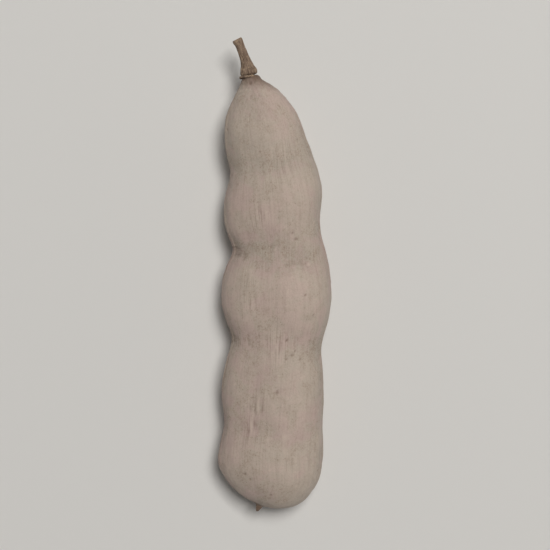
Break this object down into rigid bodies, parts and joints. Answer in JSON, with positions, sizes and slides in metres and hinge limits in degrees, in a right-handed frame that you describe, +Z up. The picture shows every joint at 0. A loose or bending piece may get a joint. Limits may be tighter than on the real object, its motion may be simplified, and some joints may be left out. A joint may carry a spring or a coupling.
{
  "type": "tamarind pod",
  "caption": "Whole ripe tamarind pod lying on its flat side: a brittle grey-tan shell, bulged over its seeds and drawn in between them, with the cut stub of its stalk.",
  "frame": {"origin": "on the plane that the pod lies on, under the middle of its bounding box", "axes": "+Y along the pod, from its rounded tip to its stalk; +Z up, away from the surface that it lies on; +X across it, towards the outer edge of its curve"},
  "size_m": [0.0298, 0.1242, 0.0219],
  "materials": {
    "tamarind_shell": "dry matte shell with a fine light scurf over brown, like thin bark",
    "stalk_wood": "dry rough brown bark with a paler cut end"
  },
  "bodies": {
    "root": {"pod": "tamarind_shell", "stalk": "stalk_wood"}
  },
  "joints": []
}
